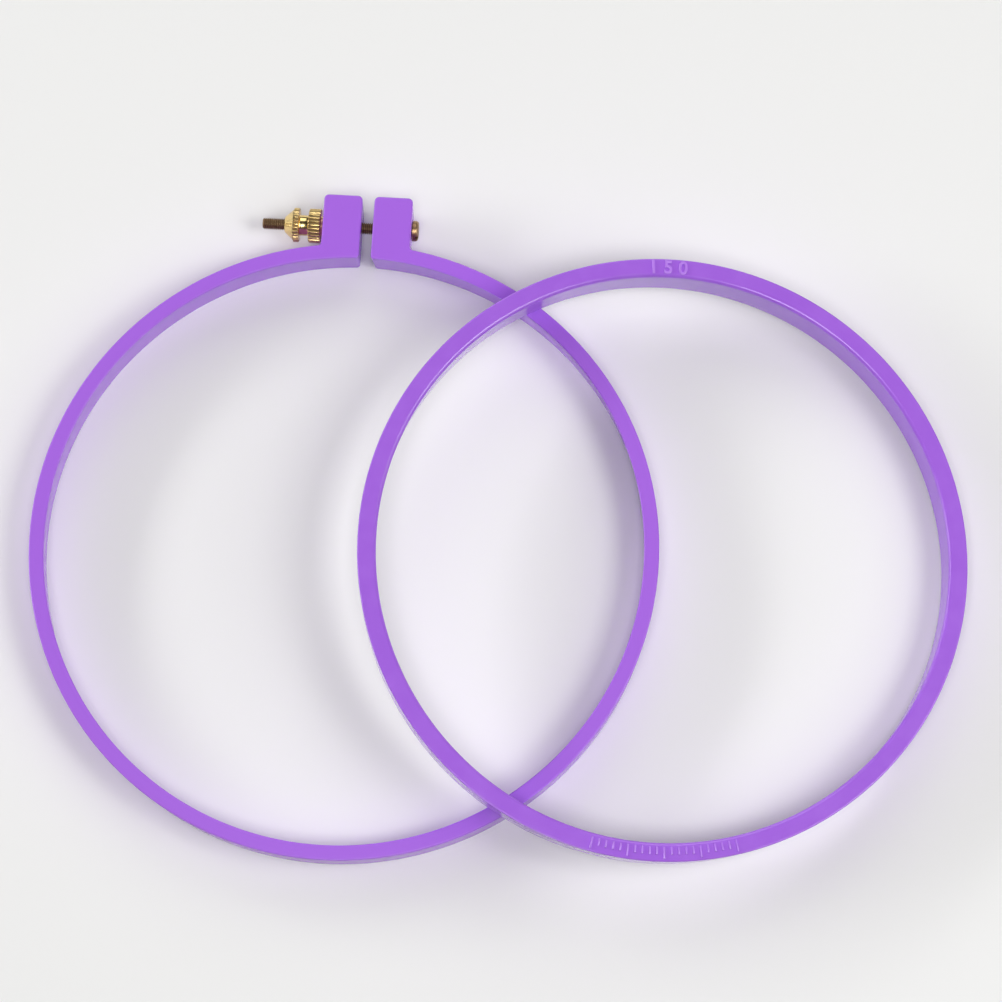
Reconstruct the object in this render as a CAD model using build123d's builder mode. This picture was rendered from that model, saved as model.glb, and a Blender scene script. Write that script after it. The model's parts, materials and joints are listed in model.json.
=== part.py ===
from build123d import *
from math import asin, cos, sin, sqrt
import os

# Embroidery hoop: a split outer ring that a screw and a thumb nut close, lying flat, and the
# inner ring leaning on it with one end on the table.
# Millimetres, +Z up. The origin is the centre of the outer ring, on the table. The lugs are
# towards +Y and the inner ring lies towards +X.

os.makedirs("parts", exist_ok=True)

# Both rings. A draft is how far a wall leans in from the top face down to the bottom face.
ring_height = 12.0
top_edge_radius = 0.4
bottom_edge_radius = 0.3

# Inner ring, whose outside diameter is the hoop's size
inner_ring_diameter = 150.0
inner_ring_wall = 4.7
inner_ring_outer_draft = 1.0
inner_ring_inner_draft = 0.5
inner_ring_lip_radius = 1.0

# Outer ring, whose mouth at the bottom takes the inner ring
nesting_clearance = 0.05
outer_ring_wall = 3.8
outer_ring_outer_draft = 0.7
outer_ring_inner_draft = 0.95
hinge_clearance = 0.15

# Clamp lugs
lug_gap = 3.0
lug_width = 9.7
lug_reach = 12.6
lug_draft = 0.35
lug_corner_radius = 1.2
lug_root_radius = 0.8
gap_corner_radius = 0.9

# Clamp screw
screw_diameter = 3.0
screw_length = 38.0
screw_standoff = 5.8
screw_tip_chamfer = 0.4
head_diameter = 5.2
head_height = 1.5
head_round = 0.7
slot_width = 0.7
slot_depth = 0.7
slot_angle = 60.0
head_clearance = 0.12
hole_clearance = 0.2
hole_slack = 1.0

# Thumb nut, from the lug outwards: boss, collar, neck, disc and cone
nut_clearance = 0.05
thread_clearance = 0.05
boss_length = 0.8
boss_diameter = 5.0
collar_length = 3.1
neck_length = 2.4
neck_diameter = 5.2
disc_length = 1.5
cone_length = 2.2
nose_diameter = 3.9
knurl_diameter = 8.6
knurl_ridges = 28
knurl_depth = 0.35
rim_chamfer = 0.2

# Where the inner ring leans: its distance and side step from the outer ring's centre, as
# shares of the outer ring's radius, and the bearing of its low end, in degrees from +X
spacing_share = 0.9975
side_step_share = 0.0054
low_end_bearing = -2.0
crossing_clearance = 0.15
settling_rounds = 12

overrun = 1.0

# Radii of the two rings' walls
inner_ring_radius = inner_ring_diameter / 2
inner_ring_base_radius = inner_ring_radius - inner_ring_outer_draft
inner_bore_radius = inner_ring_radius - inner_ring_wall
inner_bore_base_radius = inner_bore_radius + inner_ring_inner_draft
mouth_radius = inner_ring_radius + nesting_clearance
outer_bore_radius = mouth_radius - outer_ring_inner_draft
outer_ring_radius = outer_bore_radius + outer_ring_wall
outer_ring_base_radius = outer_ring_radius - outer_ring_outer_draft

# The outer ring bends where it is thinnest across the gap, at the middle of its wall
hinge_radius = outer_bore_radius + outer_ring_wall / 2

# A square bar turned on its corner cuts each knurl groove
knurl_side = sqrt(2) * knurl_depth

# The screw's axis runs along X through the middle of the lugs
lug_end = outer_ring_radius + lug_reach
lug_side = lug_gap / 2 + lug_width
screw_y = outer_ring_radius + screw_standoff
screw_z = ring_height / 2
screw_plane = Plane(origin=(0, screw_y, screw_z), x_dir=(0, 1, 0), z_dir=(1, 0, 0))
screw_axis = Axis((0, screw_y, screw_z), (1, 0, 0))
screw_section = Plane(origin=(0, screw_y, screw_z), x_dir=(1, 0, 0), z_dir=(0, -1, 0))


def draft_at(height, draft):
    """How far a wall has leaned in at a height above the table."""
    return draft * (1 - height / ring_height)


def lug_side_at(height):
    """Distance from the gap's middle to the outer side of a lug at a height."""
    return lug_side - draft_at(height, lug_draft)


def gap_side_at(height):
    """Distance from the gap's middle to the inner side of a lug at a height."""
    return lug_gap / 2 + draft_at(height, lug_draft)


# Outer ring: a drafted C with two lugs, moulded in one piece
with BuildPart() as outer_ring:
    with BuildSketch(Plane.XZ):
        with BuildLine():
            Polyline(
                (mouth_radius, 0),
                (outer_ring_base_radius, 0),
                (outer_ring_radius, ring_height),
                (outer_bore_radius, ring_height),
                close=True,
            )
        make_face()
    revolve(axis=Axis.Z)
    for height in (0, ring_height):
        with BuildSketch(Plane.XY.offset(height)):
            with Locations((0, hinge_radius)):
                Rectangle(
                    2 * lug_side_at(height),
                    lug_end - draft_at(height, lug_draft) - hinge_radius,
                    align=(Align.CENTER, Align.MIN),
                )
    loft(ruled=True)
    with BuildSketch(Plane.XZ):
        with BuildLine():
            Polyline(
                (-gap_side_at(-overrun), -overrun),
                (gap_side_at(-overrun), -overrun),
                (gap_side_at(ring_height + overrun), ring_height + overrun),
                (-gap_side_at(ring_height + overrun), ring_height + overrun),
                close=True,
            )
        make_face()
    extrude(amount=-(lug_end + overrun), mode=Mode.SUBTRACT)
    uprights = outer_ring.edges().filter_by(lambda e: e.bounding_box().size.Z > ring_height / 2)
    gap_corners, lug_roots, lug_corners = uprights.group_by(Axis.Y)[-3:]
    fillet(lug_corners, radius=lug_corner_radius)
    fillet(lug_roots, radius=lug_root_radius)
    fillet(gap_corners, radius=gap_corner_radius)
    fillet(outer_ring.faces().sort_by(Axis.Z)[-1].edges(), radius=top_edge_radius)
    fillet(outer_ring.faces().sort_by(Axis.Z)[0].edges(), radius=bottom_edge_radius)
    with BuildSketch(screw_plane):
        Circle(screw_diameter / 2 + hole_clearance)
    extrude(amount=lug_side + overrun, both=True, mode=Mode.SUBTRACT)

# Each half of the outer ring, parted opposite the gap
with BuildPart() as outer_ring_left:
    add(outer_ring.part)
    split(bisect_by=Plane.YZ.offset(-hinge_clearance / 2), keep=Keep.BOTTOM)
outer_ring_left.part.label = "outer_ring_left"
export_step(outer_ring_left.part, "parts/outer_ring_left.step")

with BuildPart() as outer_ring_right:
    add(outer_ring.part)
    split(bisect_by=Plane.YZ.offset(hinge_clearance / 2), keep=Keep.TOP)
    with BuildSketch(screw_plane):
        SlotCenterToCenter(hole_slack, screw_diameter + 2 * hole_clearance)
    extrude(amount=lug_side + overrun, mode=Mode.SUBTRACT)
outer_ring_right.part.label = "outer_ring_right"
export_step(outer_ring_right.part, "parts/outer_ring_right.step")

# Clamp screw: its pan head stands against the right lug
head_x = lug_side_at(screw_z + head_diameter / 2) + head_clearance
with BuildPart() as clamp_screw:
    with BuildSketch(screw_section):
        with BuildLine():
            Polyline(
                (head_x - screw_length, 0),
                (head_x + head_height, 0),
                (head_x + head_height, head_diameter / 2),
                (head_x, head_diameter / 2),
                (head_x, screw_diameter / 2),
                (head_x - screw_length, screw_diameter / 2),
                close=True,
            )
        make_face()
        fillet(vertices().sort_by(Axis.X)[-2:].sort_by(Axis.Y)[-1], radius=head_round)
        chamfer(vertices().sort_by(Axis.X)[:2].sort_by(Axis.Y)[-1], length=screw_tip_chamfer)
    revolve(axis=screw_axis)
    with BuildSketch(screw_plane.offset(head_x + head_height)):
        Rectangle(slot_width, head_diameter + overrun, rotation=slot_angle)
    extrude(amount=-slot_depth, mode=Mode.SUBTRACT)
clamp_screw.part.label = "clamp_screw"
export_step(clamp_screw.part, "parts/clamp_screw.step")

# Thumb nut: its boss bears on the left lug
boss_x = -lug_side_at(screw_z + boss_diameter / 2) - nut_clearance
collar_x = boss_x - boss_length
neck_x = collar_x - collar_length
disc_x = neck_x - neck_length
cone_x = disc_x - disc_length
nose_x = cone_x - cone_length
with BuildPart() as thumb_nut:
    with BuildSketch(screw_section):
        with BuildLine():
            Polyline(
                (boss_x, 0),
                (boss_x, boss_diameter / 2),
                (collar_x, boss_diameter / 2),
                (collar_x, knurl_diameter / 2 - rim_chamfer),
                (collar_x - rim_chamfer, knurl_diameter / 2),
                (neck_x + rim_chamfer, knurl_diameter / 2),
                (neck_x, knurl_diameter / 2 - rim_chamfer),
                (neck_x, neck_diameter / 2),
                (disc_x, neck_diameter / 2),
                (disc_x, knurl_diameter / 2 - rim_chamfer),
                (disc_x - rim_chamfer, knurl_diameter / 2),
                (cone_x, knurl_diameter / 2),
                (nose_x, nose_diameter / 2),
                (nose_x, 0),
                close=True,
            )
        make_face()
    revolve(axis=screw_axis)
    for knurl_x, knurl_length in ((neck_x, collar_length), (cone_x, disc_length)):
        with BuildSketch(screw_plane.offset(knurl_x)):
            with PolarLocations(knurl_diameter / 2, knurl_ridges):
                Rectangle(knurl_side, knurl_side, rotation=45)
        extrude(amount=knurl_length, mode=Mode.SUBTRACT)
    with BuildSketch(screw_plane):
        Circle(screw_diameter / 2 + thread_clearance)
    extrude(amount=nose_x - overrun, mode=Mode.SUBTRACT)
thumb_nut.part.label = "thumb_nut"
export_step(thumb_nut.part, "parts/thumb_nut.step")

# Inner ring, in plan: where the outer ring's top edge crosses the inner ring's bore
centre = outer_ring_radius * Vector(spacing_share, side_step_share, 0)
low_end = Vector(1, 0, 0).rotate(Axis.Z, low_end_bearing)
chord_at = (centre.length**2 + outer_ring_radius**2 - inner_bore_base_radius**2) / (2 * centre.length)
chord_half = sqrt(outer_ring_radius**2 - chord_at**2)
towards_centre = centre.normalized()
along_chord = Vector(0, 0, 1).cross(towards_centre)
crossings = [towards_centre * chord_at + along_chord * chord_half * side for side in (-1, 1)]
support = min((centre - crossing).dot(low_end) for crossing in crossings)

# The ring tips on the nearer crossing until the bottom edge of its low end meets the table
edge_centre_radius = inner_ring_base_radius - bottom_edge_radius
tilt = 0
for _ in range(settling_rounds):
    edge_lift = bottom_edge_radius * (1 - cos(tilt))
    rise = ring_height + crossing_clearance - edge_lift
    tilt = asin(rise / (edge_centre_radius + support / cos(tilt)))
base_height = edge_centre_radius * sin(tilt) + edge_lift
inner_ring_up = Vector(0, 0, 1) * cos(tilt) + low_end * sin(tilt)
inner_ring_side = inner_ring_up.cross(low_end)
inner_ring_centre = centre + Vector(0, 0, base_height)
inner_ring_section = Plane(
    origin=inner_ring_centre,
    x_dir=inner_ring_side,
    z_dir=inner_ring_side.cross(inner_ring_up),
)

with BuildPart() as inner_ring:
    with BuildSketch(inner_ring_section):
        with BuildLine():
            Polyline(
                (inner_bore_base_radius, 0),
                (inner_ring_base_radius, 0),
                (inner_ring_radius, ring_height),
                (inner_bore_radius, ring_height),
                close=True,
            )
        make_face()
        fillet(vertices().group_by(Axis.Y)[0], radius=bottom_edge_radius)
        fillet(vertices().group_by(Axis.Y)[-1].sort_by(Axis.X)[0], radius=inner_ring_lip_radius)
        fillet(vertices().group_by(Axis.Y)[-1].sort_by(Axis.X)[-1], radius=top_edge_radius)
    revolve(axis=Axis(inner_ring_centre, inner_ring_up))
inner_ring.part.label = "inner_ring"
export_step(inner_ring.part, "parts/inner_ring.step")
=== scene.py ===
from itertools import pairwise
from math import asin, atan2, cos, hypot, pi, radians, sin

import bmesh
import bpy
from bpy.props import FloatProperty, FloatVectorProperty, IntProperty, PointerProperty
from mathutils import Matrix, Vector
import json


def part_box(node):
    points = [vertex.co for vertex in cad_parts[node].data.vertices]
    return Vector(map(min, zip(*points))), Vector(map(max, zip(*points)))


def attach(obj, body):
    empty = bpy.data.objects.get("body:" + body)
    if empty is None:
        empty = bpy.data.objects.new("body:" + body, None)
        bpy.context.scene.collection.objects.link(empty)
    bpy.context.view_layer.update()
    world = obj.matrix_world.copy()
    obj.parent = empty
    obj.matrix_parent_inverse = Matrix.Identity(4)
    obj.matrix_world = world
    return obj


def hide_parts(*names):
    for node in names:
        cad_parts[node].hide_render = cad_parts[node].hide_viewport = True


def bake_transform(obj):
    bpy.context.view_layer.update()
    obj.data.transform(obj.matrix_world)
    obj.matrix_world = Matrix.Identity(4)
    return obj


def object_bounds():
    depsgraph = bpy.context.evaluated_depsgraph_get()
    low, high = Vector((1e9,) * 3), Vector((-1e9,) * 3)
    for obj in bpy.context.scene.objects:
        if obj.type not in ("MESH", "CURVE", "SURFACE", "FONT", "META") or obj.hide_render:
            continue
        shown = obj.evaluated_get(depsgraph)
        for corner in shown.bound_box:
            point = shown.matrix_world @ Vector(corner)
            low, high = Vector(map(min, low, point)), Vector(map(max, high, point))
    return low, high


bl_info = {
    "name": "Embroidery hoop",
    "version": (1, 0, 0),
    "blender": (4, 5, 0),
    "location": "View3D > Sidebar > Hoop",
    "description": "Models and finishes a plastic embroidery hoop with a brass clamp screw",
    "category": "Mesh",
}

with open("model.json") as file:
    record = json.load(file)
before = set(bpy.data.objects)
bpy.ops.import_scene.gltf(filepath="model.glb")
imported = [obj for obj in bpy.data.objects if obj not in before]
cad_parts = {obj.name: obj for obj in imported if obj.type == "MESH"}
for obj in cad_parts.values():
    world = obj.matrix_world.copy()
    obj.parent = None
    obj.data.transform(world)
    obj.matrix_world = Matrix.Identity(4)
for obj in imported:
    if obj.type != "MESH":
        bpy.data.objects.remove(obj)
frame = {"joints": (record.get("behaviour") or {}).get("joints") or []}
cad_low, cad_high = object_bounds()

mm = 0.001
up = Vector((0, 0, 1))
joints = {joint["name"]: joint for joint in frame["joints"]}

# Lengths that differ by less than a hair count as equal, and points closer than a touch merge
hair = 0.02 * mm
touch = 0.001 * mm

# Faces that turn by less than this run smoothly into each other
soft_turn = radians(35)

# Height of a digit of the built-in font, as a share of the font's size
digit_share = 0.7

# Where the side scale's ticks start, inwards from the outer edge, as a share of the ring's wall
tick_start_share = 0.78
ticks_to_long_tick = 5

# Depth of a metric thread, as a share of its pitch
thread_depth_share = 0.6134

# How far the middle of a quarter round stands off its corner, as a share of its radius
round_share = 0.3

# Height of the fine relief of the plastic and the brass, and the depth below a groove's root
# over which the dirt and painted shade fade
relief = 0.01 * mm
dirt_and_shade_fade = 0.1 * mm

# Places read from the frame: the outer ring lies flat round the origin, and the screw's line
# runs along X through the middle of the clamp lugs
left_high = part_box("outer_ring_left")[1]
screw_low, screw_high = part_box("clamp_screw")
nut_low, nut_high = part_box("thumb_nut")
screw_line = Vector(joints["nut_turn"]["pos_m"])


def length(name, description, size):
    """A size property, with its default given in millimetres."""
    return FloatProperty(
        name=name, description=description, default=size * mm, min=0, unit="LENGTH"
    )


def angle(name, description, size):
    """An angle property, with its default given in degrees."""
    return FloatProperty(name=name, description=description, default=radians(size), subtype="ANGLE")


def colour(name, description, value):
    """A colour property."""
    return FloatVectorProperty(
        name=name, description=description, default=value, size=3, min=0, max=1, subtype="COLOR"
    )


class RingSizes(bpy.types.PropertyGroup):
    """Walls and edges of the two rings."""

    height: FloatProperty(
        name="Ring height", description="Height of both rings", default=left_high.z, unit="LENGTH"
    )
    top_edge: length("Top edge radius", "Round of the edges of the top faces", 0.4)
    bottom_edge: length("Bottom edge radius", "Round of the edges of the bottom faces", 0.3)
    lip: length("Lip radius", "Round of the inner ring's top inner edge", 1.0)
    inner_place: FloatVectorProperty(
        name="Inner ring place",
        description="Centre of the inner ring's bottom face",
        default=(77.705 * mm, 0.42 * mm, 8.661 * mm),
        unit="LENGTH",
    )
    inner_lean: angle("Inner ring lean", "How far it leans", 6.747)
    inner_bearing: angle("Inner ring bearing", "Where its low end is", -2)
    inner_radius: length("Inner ring radius", "Outside radius of the inner ring's top", 75.0)
    inner_wall: length("Inner ring wall", "Width of the inner ring's top face", 4.7)
    inner_outer_draft: length("Inner ring outer draft", "Lean of its outer wall", 1.0)
    inner_inner_draft: length("Inner ring inner draft", "Lean of its inner wall", 0.5)
    outer_radius: length("Outer ring radius", "Outside radius of the outer ring's top", 77.9)
    outer_wall: length("Outer ring wall", "Width of the outer ring's top face", 3.8)
    outer_outer_draft: length("Outer ring outer draft", "Lean of its outer wall", 0.7)
    outer_inner_draft: length("Outer ring inner draft", "Lean of its inner wall", 0.95)
    segments: IntProperty(name="Segments", description="Steps round each ring", default=360, min=24)


class LugSizes(bpy.types.PropertyGroup):
    """The two clamp lugs and the gap between them."""

    gap: length("Gap", "Width between the lugs", 3.0)
    width: length("Width", "Width of each lug along the screw", 9.7)
    draft: length("Draft", "Lean of the lugs' sides", 0.35)
    corner: length("Corner radius", "Round of the lugs' outer corners", 1.2)
    root: length("Root radius", "Round where a lug meets the ring", 0.8)
    gap_corner: length("Gap corner radius", "Round of the ring's inner wall at the gap", 0.9)
    hole: length("Hole diameter", "Hole for the screw", 3.4)
    slack: length("Hole slack", "How much longer the right lug's hole is across the ring", 1.0)


class MarkSizes(bpy.types.PropertyGroup):
    """The raised marks on the inner ring's top face."""

    number_height: length("Number height", "Height of the size number's digits", 3.2)
    number_pitch: angle("Number pitch", "Turn from digit to digit", 2.9)
    number_bearing: angle("Number bearing", "Where its middle stands", 92.3)
    raised: length("Raised", "How far the marks stand above the ring", 0.32)
    roundness: length("Roundness", "Round of the marks' upper edges", 0.22)
    tick_width: length("Tick width", "Width of a tick of the side scale", 0.55)
    tick_length: length("Tick length", "Length of the side scale's short ticks", 2.0)
    long_tick_length: length("Long tick length", "Length of every fifth tick", 3.0)
    ticks: IntProperty(name="Ticks", description="Ticks on the side scale", default=21, min=1)
    tick_pitch: angle("Tick pitch", "Turn from tick to tick", 1.4)
    scale_bearing: angle("Scale bearing", "Where its middle stands", -87.0)


class ScrewSizes(bpy.types.PropertyGroup):
    """The clamp screw."""

    diameter: length("Diameter", "Outside diameter of the thread", 3.0)
    pitch: length("Pitch", "Travel of one turn of the thread", 0.5)
    tip: length("Tip chamfer", "Chamfer of the thread's free end", 0.4)
    head_height: length("Head height", "Height of the pan head", 1.5)
    head_round: length("Head round", "Round of the pan head's top", 0.7)
    slot_width: length("Slot width", "Width of the driver slot", 0.7)
    slot_depth: length("Slot depth", "Depth of the driver slot", 0.7)
    slot_turn: angle("Slot turn", "Turn of the slot from upright", 60)


class NutSizes(bpy.types.PropertyGroup):
    """The thumb nut, from the lug outwards."""

    boss: length("Boss length", "Plain boss that bears on the lug", 0.8)
    boss_diameter: length("Boss diameter", "Diameter of the boss", 5.0)
    collar: length("Collar length", "Wide knurled collar", 3.1)
    neck: length("Neck length", "Smooth neck", 2.4)
    neck_diameter: length("Neck diameter", "Diameter of the neck", 5.2)
    disc: length("Disc length", "Narrow knurled disc", 1.5)
    nose_diameter: length("Nose diameter", "Small end of the cone", 3.9)
    bore: length("Bore", "Diameter of the bore over the thread", 3.1)
    rim: length("Rim chamfer", "Chamfer of the knurled rims", 0.2)
    neck_round: length("Neck round", "Round where the neck meets the collar and the disc", 0.3)
    ridges: IntProperty(name="Ridges", description="Ridges round the knurl", default=28, min=6)
    knurl_depth: length("Knurl depth", "Depth of the knurl's grooves", 0.35)
    edge: length("Edge break", "Round that the tool leaves on the nut's edges", 0.05)


class Finishes(bpy.types.PropertyGroup):
    """Colours of the plastic, the brass and the floor."""

    violet: colour("Violet", "Plastic of both rings", (0.365, 0.125, 0.74))
    pale_violet: colour("Pale violet", "Clouds in the plastic", (0.42, 0.16, 0.80))
    # Painted highlight: the raised marks are a paler violet than the ring, standing in for the
    # highlights on their rounded tops
    rubbed_violet: colour("Rubbed violet", "Raised marks, painted paler as a highlight", (0.52, 0.24, 0.88))
    nut_brass: colour("Nut brass", "Bright turned brass", (0.86, 0.64, 0.27))
    screw_brass: colour("Screw brass", "Dull rolled brass", (0.46, 0.30, 0.15))
    # Dirt and painted shade: this dark brown is laid into the grooves of the knurl and the thread,
    # darkest at the root, and stands in for their shade as well as for dirt
    grime: colour("Grime", "Dirt and painted shade in grooves and thread", (0.10, 0.055, 0.03))
    floor: colour("Floor", "Table top", (0.862, 0.86, 0.848))


class StageSettings(bpy.types.PropertyGroup):
    """The camera and the soft lamps."""

    camera_place: FloatVectorProperty(
        name="Camera",
        description="Place of the lens",
        default=(0.07508, -0.198482, 0.929467),
        unit="LENGTH",
    )
    camera_turn: FloatVectorProperty(
        name="Camera turn",
        description="Tilt, roll and heading of the camera",
        default=(radians(13.12315), radians(1.48014), radians(3.55892)),
        subtype="EULER",
    )
    lens: FloatProperty(name="Lens", description="Focal length on a 36 mm sensor", default=137.106)
    floor_width: length("Floor width", "Side of the square floor", 12000.0)
    distance: length("Lamp distance", "From the hoop to each lamp", 1200.0)
    sky: FloatProperty(name="Sky", description="Strength of the soft light all round", default=0.02)
    sky_tint: colour("Sky tint", "Colour of the soft light all round", (0.98, 0.98, 1))


class HoopSettings(bpy.types.PropertyGroup):
    """All that can be set on the hoop."""

    ring: PointerProperty(type=RingSizes)
    lug: PointerProperty(type=LugSizes)
    mark: PointerProperty(type=MarkSizes)
    screw: PointerProperty(type=ScrewSizes)
    nut: PointerProperty(type=NutSizes)
    finish: PointerProperty(type=Finishes)
    stage: PointerProperty(type=StageSettings)


# Modelling helpers


def adopt(name):
    """Names the object that an operator has just added, with its place put into its mesh."""
    piece = bpy.context.object
    piece.name = piece.data.name = name
    bpy.ops.object.transform_apply()
    return piece


def edit():
    """Opens the active mesh with all of it selected, vertex by vertex."""
    bpy.ops.object.mode_set(mode="EDIT")
    bpy.ops.mesh.select_mode(type="VERT")
    bpy.ops.mesh.select_all(action="SELECT")


def draw_profile(name, points):
    """A mesh of straight edges through the points, all selected, in edit mode.

    It starts as a small square merged to one point, because no operator adds a lone point.
    """
    bpy.ops.object.select_all(action="DESELECT")
    bpy.ops.mesh.primitive_plane_add(size=mm, location=points[0])
    piece = adopt(name)
    edit()
    bpy.ops.mesh.merge(type="CENTER")
    for start, end in pairwise(points):
        bpy.ops.mesh.extrude_region_move(TRANSFORM_OT_translate={"value": end - start})
    bpy.ops.mesh.select_all(action="SELECT")
    return piece


def pick(piece, kind, wanted):
    """Selects only the vertices, edges or faces that a test wants, of which there must be some."""
    bpy.ops.mesh.select_mode(type=kind)
    bpy.ops.mesh.select_all(action="DESELECT")
    shape = bmesh.from_edit_mesh(piece.data)
    elements = {"VERT": shape.verts, "EDGE": shape.edges, "FACE": shape.faces}[kind]
    found = [element for element in elements if wanted(element)]
    if not found:
        raise RuntimeError("nothing to select on " + piece.name)
    for element in found:
        element.select_set(True)
    bmesh.update_edit_mesh(piece.data)


def near(value, target, slack=hair):
    """Whether two lengths agree to within a slack."""
    return abs(value - target) < slack


def scale_picked(scale, centre=(0, 0, 0)):
    """Scales what is selected about a point."""
    bpy.ops.transform.resize(value=scale, center_override=centre)


def round_picked(radius, segments):
    """Rounds the selected edges."""
    bpy.ops.mesh.bevel(offset=radius, segments=segments, affect="EDGES", clamp_overlap=False)


def merge_doubles():
    """Merges the points that touch, with all selected before and after."""
    bpy.ops.mesh.select_mode(type="VERT")
    bpy.ops.mesh.select_all(action="SELECT")
    bpy.ops.mesh.remove_doubles(threshold=touch)


def close_up():
    """Merges doubles, turns every face outwards and leaves edit mode."""
    merge_doubles()
    bpy.ops.mesh.normals_make_consistent(inside=False)
    bpy.ops.object.mode_set(mode="OBJECT")


def make_active(piece):
    """Leaves only this piece selected and active."""
    bpy.ops.object.select_all(action="DESELECT")
    piece.select_set(True)
    bpy.context.view_layer.objects.active = piece


def modify(piece, kind, **settings):
    """Adds a modifier with its settings and applies it."""
    make_active(piece)
    bpy.ops.object.modifier_add(type=kind)
    modifier = piece.modifiers[-1]
    for setting, value in settings.items():
        setattr(modifier, setting, value)
    bpy.ops.object.modifier_apply(modifier=modifier.name)


def soften(piece, width, turn):
    """Rounds the edges whose faces turn by more than an angle."""
    modify(piece, "BEVEL", width=width, segments=2, limit_method="ANGLE", angle_limit=turn)


def cut_with(piece, cutter, operation="DIFFERENCE"):
    """Cuts, joins or keeps the overlap of a piece and a cutter, and removes the cutter."""
    modify(piece, "BOOLEAN", object=cutter, operation=operation, solver="EXACT")
    bpy.data.objects.remove(cutter)


def smooth(piece, turn=soft_turn):
    """Shades smoothly over edges up to an angle, with flat faces kept flat."""
    make_active(piece)
    bpy.ops.object.shade_smooth_by_angle(angle=turn)
    modify(piece, "WEIGHTED_NORMAL", keep_sharp=True)


def join_pieces(pieces, name):
    """Joins pieces into the first one."""
    bpy.ops.object.select_all(action="DESELECT")
    for piece in pieces:
        piece.select_set(True)
    bpy.context.view_layer.objects.active = pieces[0]
    bpy.ops.object.join()
    pieces[0].name = pieces[0].data.name = name
    return pieces[0]


def dress(piece, material):
    """Gives a piece its material."""
    piece.data.materials.clear()
    piece.data.materials.append(material)


# Shader helpers


class Number:
    """A shader socket. Arithmetic on it adds Math nodes."""

    def __init__(self, finish, socket):
        self.finish = finish
        self.socket = socket

    def math(self, operation, *values):
        """The result of a Math node that works on the values."""
        return self.finish.node("Math", {"operation": operation}, dict(enumerate(values)))

    def __add__(self, other):
        return self.math("ADD", self, other)

    def __sub__(self, other):
        return self.math("SUBTRACT", self, other)

    def __rsub__(self, other):
        return self.math("SUBTRACT", other, self)

    def __mul__(self, other):
        return self.math("MULTIPLY", self, other)

    def __pow__(self, other):
        return self.math("POWER", self, other)

    __radd__ = __add__
    __rmul__ = __mul__


class Finish:
    """A material that is being built."""

    def __init__(self, name):
        self.material = bpy.data.materials.new(name)
        self.material.use_nodes = True
        self.tree = self.material.node_tree
        self.tree.nodes.clear()
        self.place = self.node("TexCoord", output="Object")

    def node(self, kind, settings=None, inputs=None, output=0):
        """Adds a node with its settings and inputs, and returns one of its outputs."""
        node = self.tree.nodes.new("ShaderNode" + kind)
        for setting, value in (settings or {}).items():
            setattr(node, setting, value)
        for name, value in (inputs or {}).items():
            if isinstance(value, Number):
                self.tree.links.new(value.socket, node.inputs[name])
            else:
                node.inputs[name].default_value = value
        return Number(self, node.outputs[output]) if node.outputs else None

    def noise(self, scale, detail=2.0, place=None):
        """Noise from 0 to 1, with its scale in lumps to the metre."""
        return self.node(
            "TexNoise", None, {"Vector": place or self.place, "Scale": scale, "Detail": detail}
        )

    def ramp(self, value, low, high):
        """0 below low, 1 above high, and a straight rise between them."""
        return self.node("MapRange", None, {"Value": value, "From Min": low, "From Max": high})

    def mix(self, share, first, second):
        """A mix of two colours."""
        first, second = (
            value if isinstance(value, Number) else (*value, 1) for value in (first, second)
        )
        return self.node("Mix", {"data_type": "RGBA"}, {0: share, 6: first, 7: second}, output=2)

    def stretched(self, scale=(1, 1, 1), shift=(0, 0, 0)):
        """Object coordinates stretched and moved."""
        inputs = {"Vector": self.place, "Location": shift, "Scale": scale}
        return self.node("Mapping", None, inputs)

    def bump(self, height, distance, strength=1.0):
        """A normal from a height of 0 to 1 times a distance."""
        inputs = {"Height": height, "Distance": distance, "Strength": strength}
        return self.node("Bump", None, inputs)

    def surface(self, **inputs):
        """Ends the material in one Principled surface."""
        named = {name.replace("_", " "): value for name, value in inputs.items()}
        shader = self.node("BsdfPrincipled", None, named)
        self.node("OutputMaterial", None, {"Surface": shader})
        return self.material


def gloss_plastic(name, tone, pale_tone):
    """Glossy moulded plastic: faint clouds of a paler tone and a fine orange peel."""
    finish = Finish(name)
    clouds = finish.ramp(finish.noise(scale=170, detail=3.0), low=0.38, high=0.64)
    flow = finish.noise(scale=26)
    peel = finish.noise(scale=700)
    tint = finish.mix(clouds * 0.3 + flow * 0.5, tuple(tone), tuple(pale_tone))
    return finish.surface(
        Base_Color=tint,
        Roughness=0.12 + peel * 0.05 + clouds * 0.04,
        IOR=1.56,
        Normal=finish.bump(peel * 0.8 + flow * 0.2, relief, strength=0.25),
    )


def mark_plastic(colours):
    """The plastic of the raised marks, painted paler than the ring as a highlight on them, made at
    its first use.
    """
    made = bpy.data.materials.get("mark_plastic")
    return made or gloss_plastic("mark_plastic", colours.rubbed_violet, colours.pale_violet)


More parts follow.
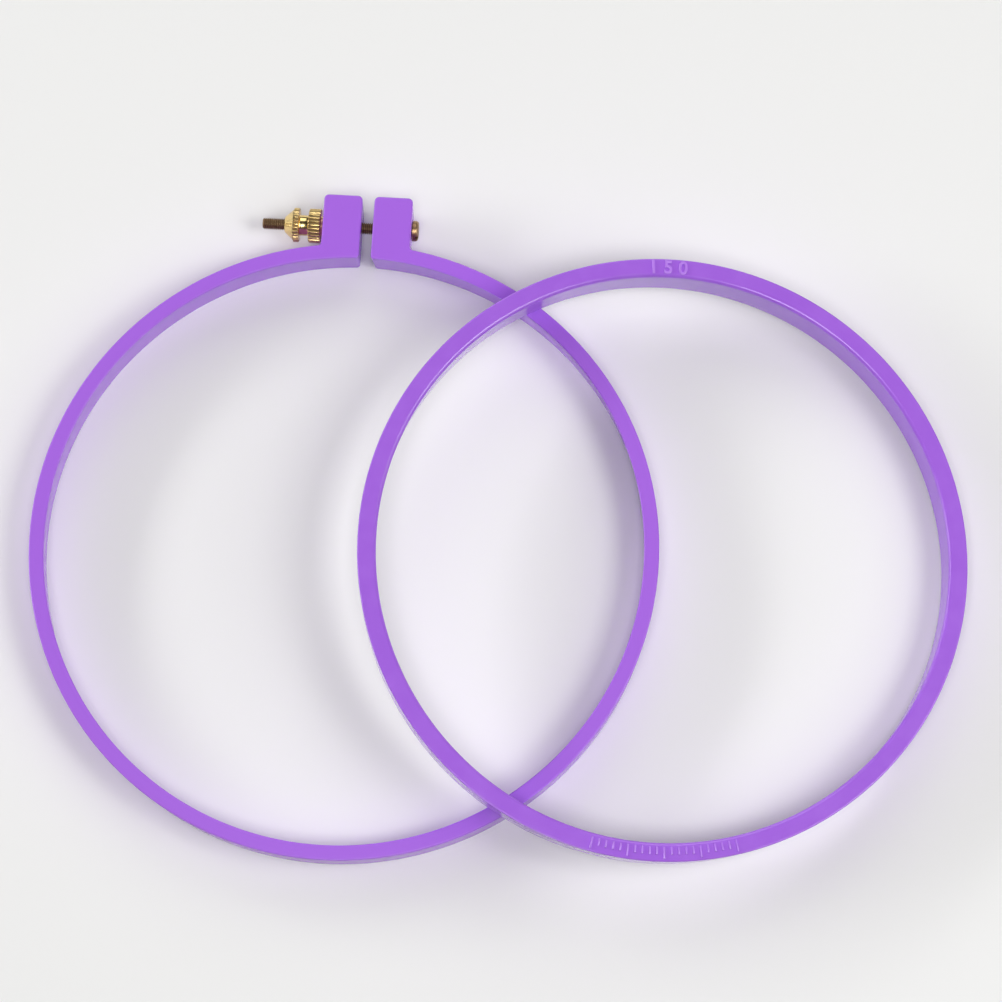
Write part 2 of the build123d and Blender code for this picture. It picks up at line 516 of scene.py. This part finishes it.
def brass(name, colours, tone, wear, root, crest, rough):
    """Brass with dull patches, turning marks, and dirt with painted shade in the grooves, darkest
    at the root and gone at the crest.
    """
    finish = Finish(name)
    from_line = finish.stretched(shift=-screw_line)
    across = finish.node("SeparateXYZ", None, {0: from_line}, output=1)
    beside = finish.node("SeparateXYZ", None, {0: from_line}, output=2)
    radius = (across * across + beside * beside) ** 0.5
    # Painted shade with dirt: darkest at a groove's root and fading out towards the crest, where
    # the grooves are also made duller and rougher
    above_root = finish.ramp(radius, root - dirt_and_shade_fade, root)
    grime = above_root * (1 - finish.ramp(radius, root, crest))
    patches = finish.ramp(finish.noise(scale=500, detail=4.0), low=0.42, high=0.68)
    turning = finish.noise(scale=1, detail=3.0, place=finish.stretched((9000, 120, 120)))
    grain = finish.noise(scale=3500)
    dull = finish.mix(patches * wear, tuple(tone), tuple(channel * 0.55 for channel in tone))
    return finish.surface(
        Base_Color=finish.mix(grime * 0.8, dull, tuple(colours.grime)),
        Metallic=1 - grime * 0.35,
        Roughness=rough + patches * 0.12 + turning * 0.08 + grime * 0.2,
        Normal=finish.bump(turning * 0.7 + grain * 0.3, relief, strength=0.3),
    )


# The pieces


def lay_inner(piece, sizes, place=Matrix()):
    """Moves a piece to a place on the upright inner ring, and with it to where that ring leans."""
    axle = Vector((-sin(sizes.inner_bearing), cos(sizes.inner_bearing), 0))
    lean = Matrix.Rotation(sizes.inner_lean, 4, axle)
    make_active(piece)
    piece.matrix_world = Matrix.Translation(sizes.inner_place) @ lean @ place
    bpy.ops.object.transform_apply()


class HOOP_OT_inner_ring(bpy.types.Operator):
    """Model the inner ring: a closed band with leaning walls and a soft inner lip"""

    bl_idname = "hoop.inner_ring"
    bl_label = "Inner ring"

    def execute(self, context):
        sizes = context.scene.hoop.ring
        bore = sizes.inner_radius - sizes.inner_wall
        corners = (
            (sizes.inner_radius - sizes.inner_outer_draft, 0),
            (sizes.inner_radius, sizes.height),
            (bore, sizes.height),
            (bore + sizes.inner_inner_draft, 0),
        )
        bpy.ops.object.select_all(action="DESELECT")
        bpy.ops.mesh.primitive_circle_add(vertices=sizes.segments, radius=corners[0][0])
        ring = adopt("inner_ring_body")
        edit()
        for (radius, height), (next_radius, next_height) in pairwise(corners):
            rise = (0, 0, next_height - height)
            bpy.ops.mesh.extrude_region_move(TRANSFORM_OT_translate={"value": rise})
            scale_picked((next_radius / radius, next_radius / radius, 1))
        bpy.ops.mesh.select_all(action="DESELECT")
        bpy.ops.mesh.select_non_manifold()
        bpy.ops.mesh.bridge_edge_loops()
        rounds = (sizes.bottom_edge, sizes.top_edge, sizes.lip, sizes.bottom_edge)
        for (radius, height), edge_radius in zip(corners, rounds):

            def on_corner(edge):
                return all(
                    near(end.co.z, height) and near(hypot(end.co.x, end.co.y), radius)
                    for end in edge.verts
                )

            pick(ring, "EDGE", on_corner)
            round_picked(edge_radius, segments=6)
        close_up()
        lay_inner(ring, sizes)
        smooth(ring)
        colours = context.scene.hoop.finish
        # The frame has a plain material of this name already, so a number is added to this one's
        finish = gloss_plastic("ring_plastic", colours.violet, colours.pale_violet)
        dress(ring, finish)
        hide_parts("inner_ring")
        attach(ring, "inner_ring")
        return {"FINISHED"}


def on_top(sizes, bearing, radius):
    """A place on the upright inner ring's top face, where a piece's Y points outwards."""
    turn = Matrix.Rotation(bearing - pi / 2, 4, "Z")
    return turn @ Matrix.Translation((0, radius, sizes.height))


class HOOP_OT_size_number(bpy.types.Operator):
    """Model the raised size number: the inner ring's diameter in millimetres"""

    bl_idname = "hoop.size_number"
    bl_label = "Size number"

    def execute(self, context):
        ring = context.scene.hoop.ring
        marks = context.scene.hoop.mark
        text = str(round(2 * ring.inner_radius / mm))
        middle = ring.inner_radius - ring.inner_wall / 2
        digits = []
        for index, digit in enumerate(text):
            turn = ((len(text) - 1) / 2 - index) * marks.number_pitch
            bpy.ops.object.select_all(action="DESELECT")
            bpy.ops.object.text_add()
            words = bpy.context.object
            words.data.body = digit
            words.data.size = marks.number_height / digit_share
            words.data.align_x = "CENTER"
            words.data.align_y = "CENTER"
            words.data.extrude = marks.raised - marks.roundness
            # The rounding widens the strokes, so their outlines start a little further in
            words.data.offset = -marks.roundness / 4
            words.data.bevel_depth = marks.roundness
            words.data.bevel_resolution = 3
            bpy.ops.object.convert(target="MESH")
            lay_inner(words, ring, on_top(ring, marks.number_bearing + turn, middle))
            digits.append(words)
        number = join_pieces(digits, "size_number")
        edit()
        close_up()
        smooth(number)
        dress(number, mark_plastic(context.scene.hoop.finish))
        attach(number, "inner_ring")
        return {"FINISHED"}


class HOOP_OT_side_scale(bpy.types.Operator):
    """Model the raised scale of ticks that shows which side of the inner ring is the top"""

    bl_idname = "hoop.side_scale"
    bl_label = "Side scale"

    def execute(self, context):
        ring = context.scene.hoop.ring
        marks = context.scene.hoop.mark
        inner_end = ring.inner_radius - ring.inner_wall * tick_start_share
        ticks = []
        for index in range(marks.ticks):
            size = marks.tick_length if index % ticks_to_long_tick else marks.long_tick_length
            bearing = marks.scale_bearing + (index - (marks.ticks - 1) / 2) * marks.tick_pitch
            bpy.ops.object.select_all(action="DESELECT")
            # The box's lower half is sunk into the ring
            sides = (marks.tick_width, size, 2 * marks.raised)
            bpy.ops.mesh.primitive_cube_add(size=1, scale=sides)
            tick = adopt("tick")
            edit()
            pick(tick, "EDGE", lambda edge: all(end.co.z > 0 for end in edge.verts))
            round_picked(marks.roundness, segments=4)
            bpy.ops.object.mode_set(mode="OBJECT")
            lay_inner(tick, ring, on_top(ring, bearing, inner_end + size / 2))
            ticks.append(tick)
        scale = join_pieces(ticks, "side_scale")
        smooth(scale)
        dress(scale, mark_plastic(context.scene.hoop.finish))
        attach(scale, "inner_ring")
        return {"FINISHED"}


class HOOP_OT_outer_ring(bpy.types.Operator):
    """Model the split outer ring with its two clamp lugs, in one piece"""

    bl_idname = "hoop.outer_ring"
    bl_label = "Outer ring"

    def execute(self, context):
        ring = context.scene.hoop.ring
        lug = context.scene.hoop.lug
        piece = self.draw_top(ring, lug)
        self.make_solid(piece, ring, lug)
        self.round_edges(piece, ring, lug)
        close_up()
        self.drill(piece, lug)
        smooth(piece)
        # The outer ring wears the frame's own plain violet, not the inner ring's plastic
        dress(piece, bpy.data.materials["ring_plastic"])
        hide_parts("outer_ring_left", "outer_ring_right")
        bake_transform(piece)
        return {"FINISHED"}

    def draw_top(self, ring, lug):
        """Spins the top face round from one side of the gap to the other and draws out the lugs."""
        radius, bore = ring.outer_radius, ring.outer_radius - ring.outer_wall
        side, end = lug.gap / 2 + lug.width, left_high.y
        # The gap's sides start radial, with their ends no further than this off the final line
        off_line = 0.1 * mm
        gap_turn, lug_turn = asin(lug.gap / 2 / radius), asin(side / radius)
        outwards = Vector((sin(gap_turn), cos(gap_turn), 0))
        start = [outwards * bore + up * ring.height, outwards * radius + up * ring.height]
        piece = draw_profile("outer_ring_body", start)
        lug_arc, ring_arc = lug_turn - gap_turn, 2 * pi - 2 * lug_turn
        lug_steps = 6
        for steps, arc in ((lug_steps, lug_arc), (ring.segments, ring_arc), (lug_steps, lug_arc)):
            bpy.ops.mesh.spin(steps=steps, angle=arc, center=(0, 0, 0), axis=(0, 0, 1))
        for way in (-1, 1):
            at_gap = way * lug.gap / 2
            pick(piece, "VERT", lambda v: v.co.y > 0 and near(v.co.x, at_gap, off_line))
            scale_picked((0, 1, 1), (at_gap, 0, 0))

        def on_rim(vertex):
            return vertex.co.y > 0 and near(hypot(vertex.co.x, vertex.co.y), radius)

        def under_lug(edge):
            return all(on_rim(v) and abs(v.co.x) < side + hair for v in edge.verts)

        pick(piece, "EDGE", under_lug)
        bpy.ops.mesh.extrude_region_move(TRANSFORM_OT_translate={"value": (0, end - radius, 0)})
        scale_picked((1, 0, 1), (0, end, 0))

        def along_end(vertex):
            return near(vertex.co.y, end) and lug.gap < abs(vertex.co.x) < side - hair

        pick(piece, "VERT", along_end)
        bpy.ops.mesh.dissolve_verts()

        def in_lug(face):
            middle = face.calc_center_median()
            return middle.y > 0 and abs(middle.x) < side

        pick(piece, "FACE", in_lug)
        bpy.ops.mesh.dissolve_faces()
        pick(piece, "VERT", lambda vertex: on_rim(vertex) and near(abs(vertex.co.x), lug.gap / 2))
        bpy.ops.mesh.dissolve_verts()
        return piece

    def make_solid(self, piece, ring, lug):
        """Extrudes the top face down and leans the walls in."""
        radius, bore = ring.outer_radius, ring.outer_radius - ring.outer_wall
        side, end = lug.gap / 2 + lug.width, left_high.y
        bpy.ops.mesh.select_all(action="SELECT")
        bpy.ops.mesh.extrude_region_move(TRANSFORM_OT_translate={"value": (0, 0, -ring.height)})

        def low(wanted):
            return lambda vertex: near(vertex.co.z, 0) and wanted(vertex.co)

        def lean_round(at_radius, change):
            share = 1 + change / at_radius
            pick(piece, "VERT", low(lambda point: near(hypot(point.x, point.y), at_radius)))
            scale_picked((share, share, 1))

        lean_round(radius, -ring.outer_outer_draft)
        lean_round(bore, ring.outer_inner_draft)
        # The walls have leaned in by now, which moves their ends by less than this along X
        off_line = 0.12 * mm
        for way in (-1, 1):
            for at_x, low_x in ((side, side - lug.draft), (lug.gap / 2, lug.gap / 2 + lug.draft)):

                def at_side(point):
                    return point.y > 0 and near(point.x, way * at_x, off_line)

                pick(piece, "VERT", low(at_side))
                scale_picked((0, 1, 1), (way * low_x, 0, 0))
        pick(piece, "VERT", low(lambda point: near(point.y, end)))
        bpy.ops.transform.translate(value=(0, -lug.draft, 0))
        bpy.ops.mesh.select_all(action="SELECT")
        bpy.ops.mesh.normals_make_consistent(inside=False)

    def round_edges(self, piece, ring, lug):
        """Rounds the upright corners of the lugs, then the rims of the top and bottom faces."""
        bore = ring.outer_radius - ring.outer_wall
        side, end = lug.gap / 2 + lug.width, left_high.y
        # The leaning corners stay this near to where they stand in the top face
        slack = 1.0 * mm

        def upright(wanted):
            def test(edge):
                first, second = (vertex.co for vertex in edge.verts)
                middle = (first + second) / 2
                return abs(first.z - second.z) > ring.height / 2 and middle.y > 0 and wanted(middle)

            return test

        def at_end(point):
            return near(point.y, end, slack)

        def at_root(point):
            in_wall = bore + slack < point.y < ring.outer_radius
            return in_wall and near(abs(point.x), side, slack / 2)

        def at_gap(point):
            return abs(point.x) < lug.gap / 2 + slack and point.y < bore + slack

        corners = ((at_end, lug.corner), (at_root, lug.root), (at_gap, lug.gap_corner))
        for wanted, radius in corners:
            pick(piece, "EDGE", upright(wanted))
            round_picked(radius, segments=6)
        for way, radius in ((1, ring.top_edge), (-1, ring.bottom_edge)):

            def on_rim(edge):
                """Whether one of its faces is the top or bottom and the other a wall."""
                rises = sorted(way * face.normal.z for face in edge.link_faces)
                return len(rises) == 2 and rises[1] > 0.9 and rises[0] < 0.5

            pick(piece, "EDGE", on_rim)
            round_picked(radius, segments=5)

    def drill(self, piece, lug):
        """Drills the screw's hole, which is longer across the ring in the right lug."""
        overrun = 1 * mm
        reach = lug.gap / 2 + lug.width + overrun
        for middle_x, slack in ((-reach / 2, 0), (reach / 2, lug.slack)):
            bpy.ops.object.select_all(action="DESELECT")
            bpy.ops.mesh.primitive_cylinder_add(
                vertices=48,
                radius=lug.hole / 2,
                depth=reach,
                location=(middle_x, screw_line.y, screw_line.z),
                rotation=(0, pi / 2, 0),
            )
            drill = adopt("drill")
            edit()
            for way in (-1, 1):
                pick(drill, "VERT", lambda vertex: way * (vertex.co.y - screw_line.y) > 0)
                bpy.ops.transform.translate(value=(0, way * slack / 2, 0))
            bpy.ops.object.mode_set(mode="OBJECT")
            cut_with(piece, drill)


def spun(name, outline, segments):
    """Turns an outline of (x, radius) pairs about the screw's line."""
    points = [Vector((x, screw_line.y - radius, screw_line.z)) for x, radius in outline]
    piece = draw_profile(name, points)
    bpy.ops.mesh.spin(steps=segments, angle=2 * pi, center=screw_line, axis=(1, 0, 0))
    return piece


class HOOP_OT_clamp_screw(bpy.types.Operator):
    """Model the clamp screw: a rolled thread from its chamfered tip to its slotted pan head"""

    bl_idname = "hoop.clamp_screw"
    bl_label = "Clamp screw"

    def execute(self, context):
        sizes = context.scene.hoop.screw
        screw = self.make_thread(sizes)
        cut_with(screw, self.make_head(sizes), "UNION")
        smooth(screw, turn=radians(32))
        colours = context.scene.hoop.finish
        finish = brass(
            "screw_brass",
            colours,
            colours.screw_brass,
            wear=0.7,
            root=sizes.diameter * 0.4,
            crest=sizes.diameter / 2,
            rough=0.30,
        )
        dress(screw, finish)
        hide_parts("clamp_screw")
        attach(screw, "screw")
        return {"FINISHED"}

    def make_thread(self, sizes):
        """Winds one turn's outline along the screw and trims both ends."""
        tip, head = screw_low.x, screw_high.x - sizes.head_height
        crest = sizes.diameter / 2
        root = crest - thread_depth_share * sizes.pitch
        # Points of one turn's outline: how far along the pitch, as a share, and the radius
        turn_outline = (
            (0, root),
            (1 / 8, root),
            (7 / 16, crest),
            (9 / 16, crest),
            (7 / 8, root),
            (1, root),
        )
        # The winding starts two turns before the tip and runs past the head's underside
        spare_turns = 6
        turns = int((head - tip) / sizes.pitch) + spare_turns
        start_x = tip - 2 * sizes.pitch
        points = [
            Vector((start_x + share * sizes.pitch, radius, 0)) for share, radius in turn_outline
        ]
        thread = draw_profile("clamp_screw_body", points)
        bpy.ops.object.mode_set(mode="OBJECT")
        modify(
            thread,
            "SCREW",
            axis="X",
            angle=2 * pi,
            screw_offset=sizes.pitch,
            iterations=turns,
            steps=24,
            render_steps=24,
            use_merge_vertices=True,
            merge_threshold=touch,
        )
        thread.location = (0, screw_line.y, screw_line.z)
        bpy.ops.object.transform_apply()
        edit()
        merge_doubles()
        # The thread ends inside the head, which is joined to it later
        for end_x, outwards in ((tip, -1), (head + sizes.head_height / 3, 1)):
            bpy.ops.mesh.select_all(action="SELECT")
            bpy.ops.mesh.bisect(
                plane_co=(end_x, 0, 0),
                plane_no=(outwards, 0, 0),
                use_fill=True,
                clear_outer=True,
                threshold=touch / 10,
            )
        close_up()
        # A rod a little thicker than the thread, whose cone leaves the tip's chamfer
        spare = 0.1 * mm
        blank = [
            (tip - sizes.pitch, 0),
            (tip - sizes.pitch, crest - sizes.tip - sizes.pitch),
            (tip + sizes.tip + spare, crest + spare),
            (head + sizes.head_height, crest + spare),
            (head + sizes.head_height, 0),
        ]
        envelope = spun("envelope", blank, segments=48)
        close_up()
        cut_with(thread, envelope, "INTERSECT")
        return thread

    def make_head(self, sizes):
        """Turns the pan head and cuts its slot."""
        top, bottom = screw_high.x, screw_high.x - sizes.head_height
        radius = screw_high.y - screw_line.y
        under_edge, slot_edge = 0.08 * mm, 0.04 * mm
        steps = 6
        quarter = [pi / 2 * step / steps for step in range(steps + 1)]
        outline = [(bottom, 0), (bottom, radius - under_edge), (bottom + under_edge, radius)]
        outline += [
            (top - sizes.head_round * (1 - sin(turn)), radius - sizes.head_round * (1 - cos(turn)))
            for turn in quarter
        ]
        outline += [(top, 0)]
        head = spun("head", outline, segments=64)
        close_up()
        bpy.ops.object.select_all(action="DESELECT")
        bpy.ops.mesh.primitive_cube_add(
            size=1,
            location=(top, screw_line.y, screw_line.z),
            rotation=(sizes.slot_turn, 0, 0),
            scale=(2 * sizes.slot_depth, sizes.slot_width, 4 * radius),
        )
        cut_with(head, adopt("slot"))
        soften(head, slot_edge, turn=radians(50))
        return head


class HOOP_OT_thumb_nut(bpy.types.Operator):
    """Model the thumb nut: boss, knurled collar, neck, knurled disc and cone"""

    bl_idname = "hoop.thumb_nut"
    bl_label = "Thumb nut"

    def execute(self, context):
        sizes = context.scene.hoop.nut
        knurl = nut_high.z - screw_line.z
        boss, bore, neck = sizes.boss_diameter / 2, sizes.bore / 2, sizes.neck_diameter / 2
        rim = knurl - sizes.rim
        fillet, fillet_middle = sizes.neck_round, sizes.neck_round * round_share
        collar_x = nut_high.x - sizes.boss
        neck_x = collar_x - sizes.collar
        disc_x = neck_x - sizes.neck
        cone_x = disc_x - sizes.disc
        outline = [
            (nut_high.x, bore),
            (nut_high.x, boss),
            (collar_x, boss),
            (collar_x, rim),
            (collar_x - sizes.rim, knurl),
            (neck_x + sizes.rim, knurl),
            (neck_x, rim),
            (neck_x, neck + fillet),
            (neck_x - fillet_middle, neck + fillet_middle),
            (neck_x - fillet, neck),
            (disc_x + fillet, neck),
            (disc_x + fillet_middle, neck + fillet_middle),
            (disc_x, neck + fillet),
            (disc_x, rim),
            (disc_x - sizes.rim, knurl),
            (cone_x + sizes.rim / 2, knurl),
            (cone_x, knurl - sizes.knurl_depth),
            (nut_low.x, sizes.nose_diameter / 2),
            (nut_low.x, bore),
            (nut_high.x, bore),
        ]
        nut = spun("thumb_nut_body", outline, segments=4 * sizes.ridges)
        merge_doubles()
        step = 2 * pi / (4 * sizes.ridges)

        def in_groove(vertex):
            """Whether it is on the knurl's outside, in the cut half of a ridge's turn."""
            y, z = vertex.co.y - screw_line.y, vertex.co.z - screw_line.z
            turn = round(atan2(z, y) / step) % 4
            return turn in (2, 3) and hypot(y, z) > rim - hair

        pick(nut, "VERT", in_groove)
        share = (knurl - sizes.knurl_depth) / knurl
        scale_picked((1, share, share), screw_line)
        close_up()
        soften(nut, sizes.edge, turn=radians(38))
        smooth(nut)
        colours = context.scene.hoop.finish
        finish = brass(
            "nut_brass",
            colours,
            colours.nut_brass,
            wear=0.2,
            root=knurl - sizes.knurl_depth,
            crest=knurl,
            rough=0.16,
        )
        dress(nut, finish)
        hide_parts("thumb_nut")
        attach(nut, "nut")
        return {"FINISHED"}


class HOOP_OT_stage(bpy.types.Operator):
    """Set up the pale floor, the soft lamps and the camera"""

    bl_idname = "hoop.stage"
    bl_label = "Stage"

    def execute(self, context):
        settings = context.scene.hoop.stage
        self.lay_floor(settings, context.scene.hoop.finish)
        self.light_world(settings)
        self.hang_lamps(settings)
        self.place_camera(settings)
        context.scene.view_settings.view_transform = "Standard"
        return {"FINISHED"}

    def lay_floor(self, settings, colours):
        """A wide plain floor under the hoop."""
        bpy.ops.object.select_all(action="DESELECT")
        bpy.ops.mesh.primitive_plane_add(size=settings.floor_width, location=(0, 0, cad_low.z))
        floor = adopt("floor")
        finish = Finish("floor_paper")
        floor.data.materials.append(
            finish.surface(Base_Color=(*colours.floor, 1), Roughness=0.7, Specular_IOR_Level=0.2)
        )

    def light_world(self, settings):
        """Even light from all round."""
        world = bpy.data.worlds.new("studio")
        world.use_nodes = True
        background = world.node_tree.nodes["Background"]
        background.inputs["Color"].default_value = (*settings.sky_tint, 1)
        background.inputs["Strength"].default_value = settings.sky
        bpy.context.scene.world = world

    def hang_lamps(self, settings):
        """Soft boxes aimed at the hoop: bearing and height in degrees, sides in metres, watts."""
        aim = (cad_low + cad_high) / 2
        for name, bearing, height, width, depth, power in (
            ("key", 345, 55, 0.4, 0.4, 2.9),
            ("broad_key", 345, 45, 0.8, 0.8, 5.2),
            ("front", 270, 74, 0.4, 0.4, 4.5),
            ("low_left", 180, 17, 0.6, 0.6, 2.9),
            ("strip", 163, 22, 1.0, 0.16, 5.6),
            ("back", 90, 35, 0.8, 0.8, 3.7),
        ):
            bearing, height = radians(bearing), radians(height)
            away = Vector((cos(bearing) * cos(height), sin(bearing) * cos(height), sin(height)))
            turn = away.to_track_quat("Z", "Y").to_euler()
            place = aim + away * settings.distance
            bpy.ops.object.light_add(type="AREA", location=place, rotation=turn)
            lamp = bpy.context.object
            lamp.name = lamp.data.name = name
            lamp.visible_camera = False
            lamp.data.shape = "RECTANGLE"
            lamp.data.size, lamp.data.size_y = width, depth
            lamp.data.energy = power

    def place_camera(self, settings):
        """The camera, high over the hoop and a little in front of it."""
        bpy.ops.object.camera_add(location=settings.camera_place, rotation=settings.camera_turn)
        camera = bpy.context.object
        camera.name = camera.data.name = "camera"
        camera.data.sensor_width = 36
        camera.data.lens = settings.lens
        camera.data.clip_end = 100
        bpy.context.scene.camera = camera


operators = (
    HOOP_OT_inner_ring,
    HOOP_OT_size_number,
    HOOP_OT_side_scale,
    HOOP_OT_outer_ring,
    HOOP_OT_clamp_screw,
    HOOP_OT_thumb_nut,
    HOOP_OT_stage,
)


class HOOP_PT_panel(bpy.types.Panel):
    """Buttons for the hoop's pieces, in the order in which they are made."""

    bl_idname = "HOOP_PT_panel"
    bl_label = "Embroidery hoop"
    bl_space_type = "VIEW_3D"
    bl_region_type = "UI"
    bl_category = "Hoop"

    def draw(self, context):
        for operator in operators:
            self.layout.operator(operator.bl_idname)


settings_groups = (
    RingSizes,
    LugSizes,
    MarkSizes,
    ScrewSizes,
    NutSizes,
    Finishes,
    StageSettings,
    HoopSettings,
)


def register():
    for made in (*settings_groups, *operators, HOOP_PT_panel):
        bpy.utils.register_class(made)
    bpy.types.Scene.hoop = PointerProperty(type=HoopSettings)


def unregister():
    del bpy.types.Scene.hoop
    for made in reversed((*settings_groups, *operators, HOOP_PT_panel)):
        bpy.utils.unregister_class(made)


def main():
    """Makes every piece."""
    register()
    bpy.ops.object.select_all(action="DESELECT")
    bpy.ops.hoop.inner_ring()
    bpy.ops.hoop.size_number()
    bpy.ops.hoop.side_scale()
    bpy.ops.hoop.outer_ring()
    bpy.ops.hoop.clamp_screw()
    bpy.ops.hoop.thumb_nut()
    bpy.ops.hoop.stage()


if __name__ == "__main__":
    main()
